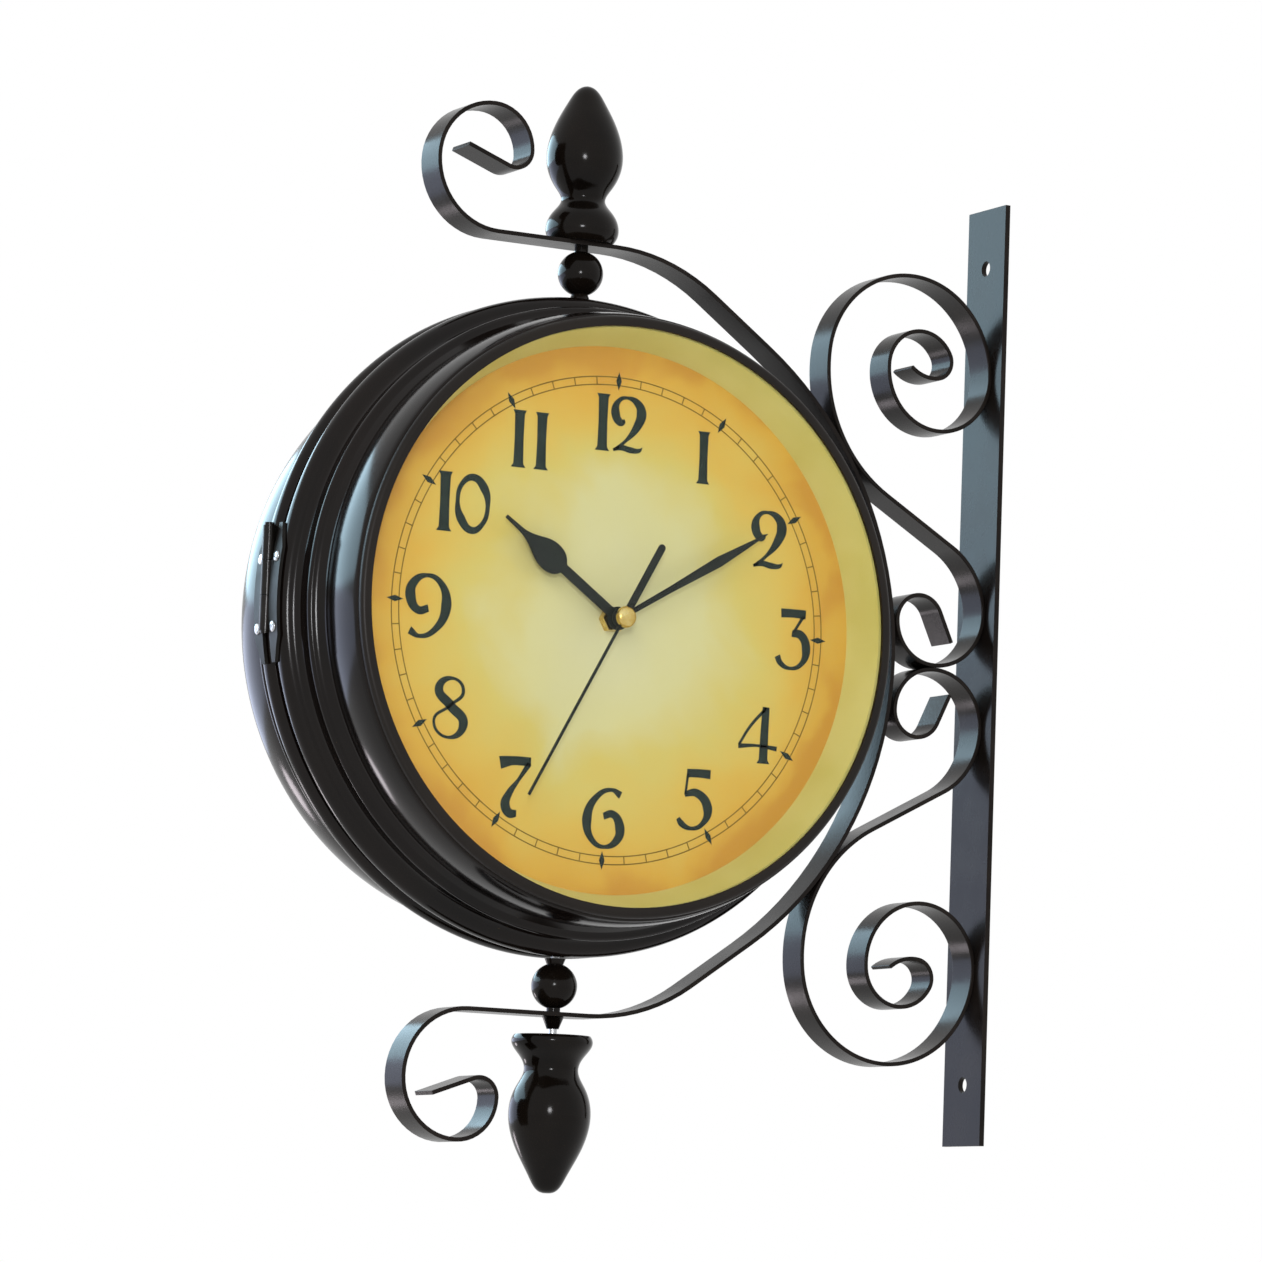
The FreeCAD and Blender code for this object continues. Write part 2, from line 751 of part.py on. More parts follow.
def leaf_plate():
    near = knuckle_r + leaf_clear
    low, high = leaf_lift - leaf_h / 2, leaf_lift + leaf_h / 2
    corners = [(near, low), (near + leaf_end_w, low), (leaf_w, low + leaf_taper),
               (leaf_w, high - leaf_taper), (near + leaf_end_w, high), (near, high)]
    points = [Vec(-leaf_out_r - overrun, y, z) for y, z in corners]
    prism = Part.Face(Part.makePolygon(points + points[:1])).extrude(Vec(leaf_out_r, 0, 0))
    return prism.common(block(leaf_in_r, leaf_out_r, -leaf_w - overrun, leaf_w + overrun))


def knuckle(index):
    low = barrel_low + index * (knuckle_h + knuckle_gap)
    barrel = post(knuckle_r, axis_base + Vec(0, 0, low), upright, knuckle_h)
    tab_w = knuckle_r + leaf_clear + leaf_end_w / 2
    tab_ring = block(leaf_in_r, leaf_in_r + tab_t, -leaf_w, leaf_w)
    tab_box = Part.makeBox(hinge_r, tab_w, knuckle_h, Vec(-hinge_r, 0, low))
    return [barrel, tab_ring.common(tab_box)]


def leaf(indexes, bore_r):
    pieces = []
    for index in indexes:
        pieces += knuckle(index)
    solid = leaf_plate().fuse(pieces).removeSplitter()
    bore = post(bore_r, axis_base + Vec(0, 0, barrel_low - overrun), upright, barrel_h + overrun * 2)
    return solid.cut(bore)


rear_leaf = leaf(range(0, knuckle_count, 2), pin_r + thread_fit)
front_leaf = leaf(range(1, knuckle_count, 2), pin_r + run_fit).mirror(origin, across)
pin = post(pin_r, axis_base + Vec(0, 0, barrel_low - pin_head_h), upright, barrel_h + pin_head_h * 2)
for head_z in (barrel_low - pin_head_h, barrel_low + barrel_h):
    pin = pin.fuse(post(pin_head_r, axis_base + Vec(0, 0, head_z), upright, pin_head_h))
pin = pin.removeSplitter()

leaf_screw_y = rim_d + bead_w / 2
leaf_bite = leaf_t + leaf_seat + leaf_screw_bite
leaf_screw, leaf_hole = radial_pair(leaf_head_r, leaf_head_h, leaf_screw_r, leaf_out_r, leaf_bite,
                                    leaf_screw_y, False)
leaf_angles = []
for side in (-1, 1):
    screw_z = leaf_lift + side * leaf_screw_pitch / 2
    leaf_angles.append(half_turn - math.degrees(math.asin(screw_z / leaf_out_r)))
rear_screws = [at_angle(leaf_screw, a) for a in leaf_angles]
rear_holes = [at_angle(leaf_hole, a) for a in leaf_angles]
front_screws = [screw.mirror(origin, across) for screw in rear_screws]
front_holes = [hole.mirror(origin, across) for hole in rear_holes]

# Spring catch: its finger lies just inside the front shell's waist

catch_out_r = waist_in_r - catch_gap
catch_bend_d = band_w / 2 - band_clear
catch = ring((band_in_r - catch_t, -catch_tail), [
    (band_in_r, -catch_tail),
    (band_in_r, catch_bend_d),
    (catch_out_r, catch_bend_d),
    (catch_out_r, ledge_d + catch_reach),
    (catch_out_r - catch_t, ledge_d + catch_reach),
    (catch_out_r - catch_t, catch_bend_d - catch_t),
    (band_in_r - catch_t, catch_bend_d - catch_t),
], catch_half_deg * 2)

clock["case_band"] = band
clock["rear_shell"] = rear_shell.cut(rear_holes)
clock["front_shell"] = front_shell.cut(front_holes)
clock["hinge_rear_leaf"] = rear_leaf.cut(rear_holes)
clock["hinge_front_leaf"] = front_leaf.cut(front_holes)
clock["hinge_pin"] = pin
clock["hinge_rear_screws"] = Part.makeCompound(rear_screws)
clock["hinge_front_screws"] = Part.makeCompound(front_screws)
clock["spring_catch"] = at_angle(catch, -catch_half_deg)
for name, piece in dial_side().items():
    clock["front_" + name] = piece
    clock["rear_" + name] = turned(piece, half_turn, upright)

shapes = {name: shifted(piece, case_centre) for name, piece in clock.items()}
shapes["wall_bar"] = bar
shapes["upper_scroll"] = scroll(bracket_drop)
shapes["lower_scroll"] = mirrored(scroll(-bracket_drop), 0)

for name, shape in shapes.items():
    print(name, len(shape.Solids), round(shape.Volume), shape.isValid())
    shape.exportStep("parts/" + name + ".step")
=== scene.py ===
import bpy
import bmesh
from math import cos, pi, radians, sin, sqrt
from mathutils import Matrix, Quaternion, Vector


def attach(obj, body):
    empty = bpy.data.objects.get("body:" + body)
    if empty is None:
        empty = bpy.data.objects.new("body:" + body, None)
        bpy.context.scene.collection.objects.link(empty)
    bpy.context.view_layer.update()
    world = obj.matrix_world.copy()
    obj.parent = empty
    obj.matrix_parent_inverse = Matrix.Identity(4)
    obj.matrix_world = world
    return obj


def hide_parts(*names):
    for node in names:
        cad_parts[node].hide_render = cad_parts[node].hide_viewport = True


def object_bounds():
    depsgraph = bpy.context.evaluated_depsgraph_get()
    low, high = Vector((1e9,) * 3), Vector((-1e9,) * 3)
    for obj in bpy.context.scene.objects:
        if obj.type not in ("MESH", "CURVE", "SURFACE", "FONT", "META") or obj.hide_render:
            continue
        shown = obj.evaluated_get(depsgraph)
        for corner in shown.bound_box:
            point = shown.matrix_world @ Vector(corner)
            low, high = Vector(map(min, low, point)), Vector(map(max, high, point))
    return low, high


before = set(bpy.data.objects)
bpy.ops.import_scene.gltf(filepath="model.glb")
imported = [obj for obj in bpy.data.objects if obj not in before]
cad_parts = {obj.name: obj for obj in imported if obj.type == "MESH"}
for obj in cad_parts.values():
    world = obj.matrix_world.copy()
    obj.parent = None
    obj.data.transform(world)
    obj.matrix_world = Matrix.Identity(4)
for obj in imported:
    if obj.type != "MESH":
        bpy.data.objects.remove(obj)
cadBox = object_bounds()
scene = bpy.context.scene
scene.view_settings.view_transform = "Standard"

mm = 0.001
clockMiddle = Vector((-170 * mm, 0, 2 * mm))
turnToRear = (Matrix.Translation(clockMiddle) @ Matrix.Rotation(pi, 4, "Z")
              @ Matrix.Translation(-clockMiddle))
standUp = Matrix.Rotation(pi / 2, 4, "X")  # flat drawing to upright, its upper side to the front
sideBody = {"front": "door", "rear": "case"}
sideTurn = {"front": Matrix.Identity(4), "rear": turnToRear}
print("frame loaded:", len(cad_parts), "nodes")


# Small helpers for the finishes

cloudMiddle = 0.5
cloudSpan = (0.3, 0.7)  # nearly all of a cloud lies in it


def colourOf(code):
    # screen colour code to the linear values that a socket takes
    parts = [int(code[i:i + 2], 16) / 255 for i in (1, 3, 5)]
    linear = [c / 12.92 if c <= 0.04045 else ((c + 0.055) / 1.055) ** 2.4 for c in parts]
    return (*linear, 1)


class Finish:
    def __init__(self, owner, shader="Principled BSDF"):
        # the owner is a material or the world
        owner.use_nodes = True
        self.owner = owner
        self.nodes = owner.node_tree.nodes
        self.links = owner.node_tree.links
        self.shader = self.nodes[shader]

    def give(self, socket, value):
        if isinstance(value, bpy.types.NodeSocket):
            self.links.new(value, socket)
        else:
            socket.default_value = value

    def add(self, kind, *values, **named):
        # a node whose sockets are filled in order or by name
        node = self.nodes.new("ShaderNode" + kind)
        for socket, value in zip(node.inputs, values):
            self.give(socket, value)
        for name, value in named.items():
            self.give(node.inputs[name], value)
        return node

    def feed(self, name, value):
        self.give(self.shader.inputs[name], value)

    def show(self, surface):
        self.links.new(surface, self.nodes["Material Output"].inputs["Surface"])

    def place(self, scale=(1, 1, 1), middle=(0, 0, 0)):
        # object coordinates, scaled about a middle point
        coords = self.add("TexCoord")
        shift = [-m * s for m, s in zip(middle, scale)]
        mapping = self.add("Mapping", Vector=coords.outputs["Object"], Scale=scale, Location=shift)
        return mapping.outputs["Vector"]

    def cloud(self, place, scale, detail, distortion=0):
        node = self.add("TexNoise", Vector=place, Scale=scale, Detail=detail, Distortion=distortion)
        return node.outputs["Fac"]

    def shades(self, factor, stops):
        node = self.add("ValToRGB", Fac=factor)
        elements = node.color_ramp.elements
        while len(elements) < len(stops):
            elements.new(1)
        for element, (position, code) in zip(elements, stops):
            element.position = position
            element.color = colourOf(code)
        return node.outputs["Color"]

    def spread(self, value, span, ends=(0, 1)):
        # carries a span of values over to other ends
        limits = {"From Min": span[0], "From Max": span[1], "To Min": ends[0], "To Max": ends[1]}
        return self.add("MapRange", Value=value, **limits).outputs["Result"]

    def bumps(self, height, strength, depth):
        node = self.add("Bump", Height=height, Strength=strength, Distance=depth)
        self.feed("Normal", node.outputs["Normal"])

    def blend(self, share, first, second):
        # one colour turning into another
        return self.add("MixRGB", share, first, second).outputs["Color"]

    def maths(self, operation, *values):
        node = self.add("Math", *values)
        node.operation = operation
        return node.outputs["Value"]

    def fromSeam(self, place):
        # distance from the seam between the two halves of the case
        return self.maths("ABSOLUTE", self.add("SeparateXYZ", Vector=place).outputs["Y"])

    def seenDirectly(self):
        # 1 for rays from the camera, straight or by way of a mirror or a glass
        rays = self.add("LightPath").outputs
        mirrored = self.maths("MAXIMUM", rays["Is Camera Ray"], rays["Is Glossy Ray"])
        return self.maths("MAXIMUM", mirrored, rays["Is Transmission Ray"])


coatDetail = {"stops": (0.32, 0.68), "cloud": 4, "grain": 2}


def coatedFinish(name, look):
    finish = Finish(bpy.data.materials.new(name))
    place = finish.place()
    cloud = finish.cloud(place, look["cloudScale"], coatDetail["cloud"])
    stops = list(zip(coatDetail["stops"], (look["dark"], look["light"])))
    finish.feed("Base Color", finish.shades(cloud, stops))
    rough = finish.spread(cloud, cloudSpan, look["rough"])
    if "shine" in look:
        # what lies near the seam is polished
        shine = look["shine"]
        satin = finish.spread(finish.fromSeam(place), shine["edge"], (shine["share"], 1))
        rough = finish.maths("MULTIPLY", rough, satin)
    finish.feed("Roughness", rough)
    grain = finish.cloud(place, look["grainScale"], coatDetail["grain"])
    finish.bumps(grain, look["grainStrength"], look["grainDepth"])
    finish.feed("IOR", look["ior"])
    finish.feed("Metallic", look.get("metal", 0))
    return finish.owner


# Finishes: colours, gloss and grain of each

ironLook = {"dark": "#15110f", "light": "#211c19", "cloudScale": 60, "rough": (0.18, 0.28),
            "ior": 1.19, "grainScale": 900, "grainStrength": 0.25, "grainDepth": 0.00008}
finialLook = {"dark": "#0b0806", "light": "#15100c", "cloudScale": 45, "rough": (0.10, 0.17),
              "ior": 1.23, "grainScale": 380, "grainStrength": 0.12, "grainDepth": 0.00006}
bandLook = {"dark": "#15110e", "light": "#211c18", "cloudScale": 80, "rough": (0.28, 0.40),
            "ior": 1.34, "grainScale": 700, "grainStrength": 0.2, "grainDepth": 0.00006}
hingeLook = {"dark": "#100e0c", "light": "#1b1917", "cloudScale": 160, "rough": (0.44, 0.56),
             "ior": 1.3, "grainScale": 1100, "grainStrength": 0.2, "grainDepth": 0.00004,
             "shine": {"edge": (2.3 * mm, 2.6 * mm), "share": 0.3}}
steelLook = {"dark": "#a9abae", "light": "#cfd1d3", "cloudScale": 300, "rough": (0.20, 0.34),
             "ior": 1.45, "grainScale": 1500, "grainStrength": 0.2, "grainDepth": 0.00003,
             "metal": 1}
brassLook = {"dark": "#c9a75c", "light": "#e8cf8c", "cloudScale": 240, "rough": (0.18, 0.32),
             "ior": 1.45, "grainScale": 1300, "grainStrength": 0.2, "grainDepth": 0.00003,
             "metal": 1}
bezelLook = {"dark": "#c9be68", "light": "#d5cb7c", "cloudScale": 40, "rough": (0.42, 0.55),
             "ior": 1.45, "grainScale": 900, "grainStrength": 0.15, "grainDepth": 0.00004}
handLook = {"dark": "#181b18", "light": "#232723", "cloudScale": 140, "rough": (0.36, 0.5),
            "ior": 1.3, "grainScale": 1200, "grainStrength": 0.2, "grainDepth": 0.00003}
boxLook = {"dark": "#17181a", "light": "#222426", "cloudScale": 90, "rough": (0.42, 0.58),
           "ior": 1.45, "grainScale": 2200, "grainStrength": 0.4, "grainDepth": 0.00005}
numeralLook = {"dark": "#1b2622", "light": "#28332e", "cloudScale": 260, "rough": (0.5, 0.62),
               "ior": 1.3, "grainScale": 1800, "grainStrength": 0.1, "grainDepth": 0.00001}
trackLook = {"dark": "#6f5822", "light": "#866c2c", "cloudScale": 220, "rough": (0.5, 0.62),
             "ior": 1.3, "grainScale": 1800, "grainStrength": 0.1, "grainDepth": 0.00001}

ironSatin = coatedFinish("ironSatin", ironLook)
finialGloss = coatedFinish("finialGloss", finialLook)
bandBlack = coatedFinish("bandBlack", bandLook)
hingeBlack = coatedFinish("hingeBlack", hingeLook)
steelBright = coatedFinish("steelBright", steelLook)
brassPolished = coatedFinish("brassPolished", brassLook)
bezelCream = coatedFinish("bezelCream", bezelLook)
handGreen = coatedFinish("handGreen", handLook)
boxPlastic = coatedFinish("boxPlastic", boxLook)
numeralInk = coatedFinish("numeralInk", numeralLook)
trackInk = coatedFinish("trackInk", trackLook)

shellLook = {"paint": [(0.3, "#0a0706"), (0.7, "#130d0a")], "rough": (0.13, 0.19), "ior": 1.28,
             "lipPaint": [(0.3, "#15110e"), (0.7, "#1e1915")], "lipRough": 0.38,
             "lipEdge": (44.5 * mm, 44.8 * mm), "cloudScale": 22, "cloudDetail": 4,
             "peelScale": 200, "peelDetail": 1, "peelStrength": 0.03, "peelDepth": 0.00004}


def shellFinish(look):
    finish = Finish(bpy.data.materials.new("caseGloss"))
    place = finish.place()
    cloud = finish.cloud(place, look["cloudScale"], look["cloudDetail"])
    lip = finish.spread(finish.fromSeam(place), look["lipEdge"])
    paint = finish.shades(cloud, look["paint"])
    lipPaint = finish.shades(cloud, look["lipPaint"])
    finish.feed("Base Color", finish.blend(lip, paint, lipPaint))
    gloss = finish.spread(cloud, cloudSpan, look["rough"])
    satin = finish.maths("MULTIPLY", lip, look["lipRough"])
    finish.feed("Roughness", finish.maths("MAXIMUM", gloss, satin))
    peel = finish.cloud(place, look["peelScale"], look["peelDetail"])
    finish.bumps(peel, look["peelStrength"], look["peelDepth"])
    finish.feed("IOR", look["ior"])
    return finish.owner


dialLook = {"radius": 95 * mm, "rough": (0.5, 0.62),
            "print": [(0.0, "#d4cfa0"), (0.38, "#d3cb8f"), (0.58, "#d2be64"), (0.76, "#d7b44f"),
                      (0.91, "#d7a73d"), (1.0, "#cb9332")],
            "cloudScale": 24, "cloudDetail": 5, "cloudTwist": 0.6, "cloudShare": 0.62,
            "card": [(0.35, "#a9a498"), (0.65, "#bdb8ac")], "cardScale": 500, "cardDetail": 3,
            "printEdge": (30.2 * mm, 30.6 * mm), "speckScale": 1400, "speckDetail": 2,
            "speckStrength": 0.1, "speckDepth": 0.00002}


def dialFinish(look):
    finish = Finish(bpy.data.materials.new("dialPrint"))
    scale = 1 / look["radius"]
    flat = finish.place((scale, 0, scale), clockMiddle)
    reach = finish.add("VectorMath", Vector=flat)
    reach.operation = "LENGTH"
    place = finish.place()
    cloud = finish.cloud(place, look["cloudScale"], look["cloudDetail"], look["cloudTwist"])
    drift = finish.maths("SUBTRACT", cloud, cloudMiddle)
    shift = finish.maths("MULTIPLY", drift, look["cloudShare"])
    faded = finish.maths("ADD", reach.outputs["Value"], shift)
    printed = finish.shades(faded, look["print"])
    # grey card shows on the back
    fibres = finish.cloud(place, look["cardScale"], look["cardDetail"])
    card = finish.shades(fibres, look["card"])
    face = finish.spread(finish.fromSeam(place), look["printEdge"])
    finish.feed("Base Color", finish.blend(face, card, printed))
    specks = finish.cloud(place, look["speckScale"], look["speckDetail"])
    finish.feed("Roughness", finish.spread(specks, cloudSpan, look["rough"]))
    finish.bumps(specks, look["speckStrength"], look["speckDepth"])
    return finish.owner


glassLook = {"colour": "#fbfffe", "ior": 1.15, "rough": (0.0, 0.012), "waveScale": 14,
             "waveDetail": 3, "waveStrength": 0.02, "waveDepth": 0.0001}


def glassFinish(look):
    finish = Finish(bpy.data.materials.new("glassClear"))
    finish.feed("Base Color", colourOf(look["colour"]))
    finish.feed("Transmission Weight", 1)
    finish.feed("IOR", look["ior"])
    wave = finish.cloud(finish.place(), look["waveScale"], look["waveDetail"])
    finish.feed("Roughness", finish.spread(wave, cloudSpan, look["rough"]))
    finish.bumps(wave, look["waveStrength"], look["waveDepth"])
    # light for the dial passes straight through
    rays = finish.add("LightPath").outputs
    clear = finish.add("BsdfTransparent").outputs["BSDF"]
    surface = finish.shader.outputs["BSDF"]
    for ray in ("Is Shadow Ray", "Is Diffuse Ray"):
        surface = finish.add("MixShader", rays[ray], surface, clear).outputs["Shader"]
    finish.show(surface)
    return finish.owner


# places along the cell are shares of its length, counted towards the wall
cellLook = {"half": 25.25 * mm, "wrap": "#2f5a3c", "wrapDark": "#274c33", "band": "#c9c6b8",
            "metal": "#b9bbbd", "wrapFrom": 0.02, "bandFrom": 0.62, "bandTo": 0.70,
            "bandEdge": 0.01, "wrapTo": 0.96, "metalFrom": 0.975, "cloudScale": 300,
            "cloudDetail": 3, "rough": (0.22, 0.34), "ior": 1.45}


def cellFinish(look):
    finish = Finish(bpy.data.materials.new("cellWrap"))
    along = finish.place((1 / look["half"], 1, 1), clockMiddle)
    run = finish.spread(finish.add("SeparateXYZ", Vector=along).outputs["X"], (-1, 1))
    bandFrom, bandTo, edge = look["bandFrom"], look["bandTo"], look["bandEdge"]
    stops = [(0, look["metal"]), (look["wrapFrom"], look["wrapDark"]), (bandFrom, look["wrap"]),
             (bandFrom + edge, look["band"]), (bandTo, look["band"]), (bandTo + edge, look["wrap"]),
             (look["wrapTo"], look["wrapDark"]), (look["metalFrom"], look["metal"])]
    finish.feed("Base Color", finish.shades(run, stops))
    cloud = finish.cloud(finish.place(), look["cloudScale"], look["cloudDetail"])
    finish.feed("Roughness", finish.spread(cloud, cloudSpan, look["rough"]))
    finish.feed("IOR", look["ior"])
    return finish.owner


caseGloss = shellFinish(shellLook)
dialPrint = dialFinish(dialLook)
glassClear = glassFinish(glassLook)
cellWrap = cellFinish(cellLook)
print("finishes made:", len(bpy.data.materials))


# Small helpers for the pieces

copyLimits = {"weld": 0.001 * mm, "flat": 0.001, "cornerDeg": 30}


def addPiece(name, bm, material, body, replaced=(), sharpOver=50, evenNormals=False):
    mesh = bpy.data.meshes.new(name)
    bm.to_mesh(mesh)
    bm.free()
    mesh.shade_smooth()
    mesh.set_sharp_from_angle(angle=radians(sharpOver))
    mesh.materials.append(material)
    piece = bpy.data.objects.new(name, mesh)
    scene.collection.objects.link(piece)
    if evenNormals:
        # broad faces stay flat beside their rounded edges
        even = piece.modifiers.new("evenNormals", "WEIGHTED_NORMAL")
        even.keep_sharp = True
    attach(piece, body)
    if replaced:
        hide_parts(*replaced)


def roundEdges(bm, edges, look, clamp=False):
    bmesh.ops.bevel(bm, geom=edges, offset=look["edge"], offset_type="OFFSET", affect="EDGES",
                    segments=look["segments"], profile=0.5, material=-1, clamp_overlap=clamp)


def addRounded(kind, node, look, material, body):
    # a CAD node's own shape with its corners rounded
    bm = bmesh.new()
    bm.from_mesh(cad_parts[node].data)
    bmesh.ops.remove_doubles(bm, verts=bm.verts, dist=copyLimits["weld"])
    bmesh.ops.dissolve_limit(bm, angle_limit=copyLimits["flat"], verts=bm.verts, edges=bm.edges)
    limit = radians(copyLimits["cornerDeg"])
    corners = [e for e in bm.edges if e.is_manifold and e.calc_face_angle(0) > limit]
    roundEdges(bm, corners, look, clamp=True)
    addPiece(kind + "." + node, bm, material, body, [node], evenNormals=True)


def sized(shares, width, height):
    # an outline given in shares, at its real size
    return [(across * width, up * height) for across, up in shares]


def spunProfile(points, steps):
    # turns an outline of radius and height about the upright axis
    bm = bmesh.new()
    verts = [bm.verts.new((r, 0, h)) for r, h in points]
    edges = [bm.edges.new(pair) for pair in zip(verts, verts[1:])]
    bmesh.ops.spin(bm, geom=verts + edges, cent=(0, 0, 0), axis=(0, 0, 1), angle=2 * pi,
                   steps=steps, use_merge=True)
    bmesh.ops.remove_doubles(bm, verts=bm.verts, dist=copyLimits["weld"])
    bmesh.ops.recalc_face_normals(bm, faces=bm.faces)
    return bm


def move(bm, matrix):
    bmesh.ops.transform(bm, verts=bm.verts, matrix=matrix)


def onFront(depth):
    # stands a flat drawing up, at a depth to the front of the clock's middle
    return Matrix.Translation(clockMiddle - Vector((0, depth, 0))) @ standUp


def join(target, source, matrix):
    # adds a placed copy of one mesh to another
    mesh = bpy.data.meshes.new("joined")
    source.to_mesh(mesh)
    mesh.transform(matrix)
    target.from_mesh(mesh)
    bpy.data.meshes.remove(mesh)


def flatRing(bm, radius, width, segments):
    edges = []
    for r in (radius - width / 2, radius + width / 2):
        made = bmesh.ops.create_circle(bm, cap_ends=False, radius=r, segments=segments)
        edges += {e for v in made["verts"] for e in v.link_edges}
    bmesh.ops.bridge_loops(bm, edges=edges)


def flatBar(bm, spot, width, length):
    shape = Matrix.Diagonal((width, length, 1, 1))
    bmesh.ops.create_grid(bm, x_segments=1, y_segments=1, size=0.5, matrix=spot @ shape)


def thicken(bm, height):
    grown = bmesh.ops.extrude_face_region(bm, geom=bm.faces[:])
    verts = [g for g in grown["geom"] if isinstance(g, bmesh.types.BMVert)]
    bmesh.ops.translate(bm, verts=verts, vec=(0, 0, height))
    bmesh.ops.recalc_face_normals(bm, faces=bm.faces)


# Bracket: flat strip with its edges rolled round

stripLook = {"edge": 0.35 * mm, "segments": 3}
barLook = {"edge": 0.4 * mm, "segments": 3}
for node in ("hoop", "upper_scroll", "lower_scroll"):
    addRounded("strip", node, stripLook, ironSatin, "bracket")
addRounded("strip", "wall_bar", barLook, ironSatin, "bracket")
print("bracket strips done")


# Case shells, spun from their outline so that reflections run smooth

# a corner that turns by more than easeOver degrees is rounded, and takes easeMost of a side at most
shellShape = {"steps": 240, "arcSteps": 12, "ease": 0.25 * mm, "easeOver": 25, "easeMost": 0.45,
              "sharpOver": 40}
# radius and depth in mm; a pair of points is an arc: one to pass through, then its end
shellOutline = [
    (100, 47.6), (102, 47.6), ((103.27, 47.07), (103.8, 45.8)), (103.8, 44.7), (104.5, 44.7),
    ((106.2, 35.925), (105.5, 25.2)), ((106.555, 22.019), (109.1, 20.7)),
    ((110.3, 19.1), (109.1, 17.5)), (109.1, 13.5), ((109.979, 10.955), (112.1, 9.9)),
    ((115.5, 5.9), (113.2, 1.9)), (112.3, 1.9), (112.3, 7.3), (107.9, 7.3),
    (107.9, 20.7), (104.3, 25.2), (102.6, 46.4), (100, 46.4)]
lugShape = {"inner": 96.1 * mm, "outer": 104.5 * mm, "back": 25.9 * mm, "front": 29.9 * mm,
            "halfDeg": 2.2, "degrees": (45, 135, 225, 315), "edge": 0.3 * mm, "segments": 2}


def arcPoints(start, through, end, steps):
    # points of the circle through three points, after the first one
    ax, ay = start
    bx, by = through[0] - ax, through[1] - ay
    cx, cy = end[0] - ax, end[1] - ay
    twist = 2 * (bx * cy - by * cx)
    ux = (cy * (bx * bx + by * by) - by * (cx * cx + cy * cy)) / twist
    uy = (bx * (cx * cx + cy * cy) - cx * (bx * bx + by * by)) / twist
    middle = Vector((ax + ux, ay + uy))
    first, last = Vector(start) - middle, Vector(end) - middle
    sweep = -first.angle_signed(last)
    return [middle + Matrix.Rotation(sweep * i / steps, 2) @ first for i in range(1, steps + 1)]


def outlinePoints(outline, steps):
    points = [Vector(outline[0])]
    for step in outline[1:]:
        if isinstance(step[0], tuple):
            points += arcPoints(points[-1].to_tuple(), step[0], step[1], steps)
        else:
            points.append(Vector(step))
    return [p * mm for p in points]


def easedCorners(points, shape):
    # rounds each corner of a closed outline
    eased = []
    for before, here, after in zip(points[-1:] + points[:-1], points, points[1:] + points[:1]):
        back, on = before - here, after - here
        if (-back).angle(on) < radians(shape["easeOver"]):
            eased.append(here)
            continue
        one = here + back * min(shape["easeMost"], shape["ease"] / back.length)
        two = here + on * min(shape["easeMost"], shape["ease"] / on.length)
        bow = (one + two) / 4 + here / 2
        eased += [one, bow, two]
    return eased


def shellLugs(bm, shape):
    # the four lugs that the dial is screwed to
    width = 2 * shape["outer"] * sin(radians(shape["halfDeg"]))
    length = shape["outer"] - shape["inner"]
    height = shape["front"] - shape["back"]
    one = bmesh.new()
    bmesh.ops.create_cube(one, size=1, matrix=Matrix.Diagonal((length, width, height, 1)))
    roundEdges(one, one.edges[:], shape)
    spot = Matrix.Translation((shape["inner"] + length / 2, 0, shape["back"] + height / 2))
    for degrees in shape["degrees"]:
        join(bm, one, Matrix.Rotation(radians(degrees), 4, "Z") @ spot)
    one.free()


outline = easedCorners(outlinePoints(shellOutline, shellShape["arcSteps"]), shellShape)
for side, body in sideBody.items():
    shell = spunProfile([p.to_tuple() for p in outline + outline[:1]], shellShape["steps"])
    shellLugs(shell, lugShape)
    move(shell, sideTurn[side] @ onFront(0))
    addPiece("shell." + side, shell, caseGloss, body, [side + "_shell"],
             shellShape["sharpOver"])
print("case shells done")


# Hinge leaves and screws with domed, slotted heads

leafLook = {"edge": 0.22 * mm, "segments": 2}
for node, body in (("hinge_rear_leaf", "case"), ("hinge_front_leaf", "door")):
    addRounded("leaf", node, leafLook, hingeBlack, body)

# outline of every head, in shares of its radius and height; the slot is cut in faces that look
# up by more than slotFacing and lie above slotAbove of the height
headShape = {"outline": [(0, 1), (0.42, 0.97), (0.74, 0.84), (0.93, 0.62), (1, 0.34), (1, 0)],
             "steps": 28, "slotFacing": 0.2, "slotAbove": 0.2, "sharpOver": 35}


def slottedScrew(look):
    # head above the seat at height 0, shank below it
    shank, bite = look["shankR"], look["bite"]
    head = sized(headShape["outline"], look["headR"], look["headH"])
    bm = spunProfile(head + [(shank, 0), (shank, -bite), (0, -bite)], headShape["steps"])
    half = look["slotW"] / 2
    for side in (-half, half):
        bmesh.ops.bisect_plane(bm, geom=bm.verts[:] + bm.edges[:] + bm.faces[:],
                               plane_co=(side, 0, 0), plane_no=(1, 0, 0))
    bm.normal_update()
    lowest = headShape["slotAbove"] * look["headH"]
    top = [f for f in bm.faces if abs(f.calc_center_median().x) < half
           and f.normal.z > headShape["slotFacing"] and f.calc_center_median().z > lowest]
    sunk = bmesh.ops.extrude_face_region(bm, geom=top)
    floor = [g for g in sunk["geom"] if isinstance(g, bmesh.types.BMVert)]
    bmesh.ops.translate(bm, verts=floor, vec=(0, 0, -look["slotDepth"]))
    bmesh.ops.recalc_face_normals(bm, faces=bm.faces)
    return bm


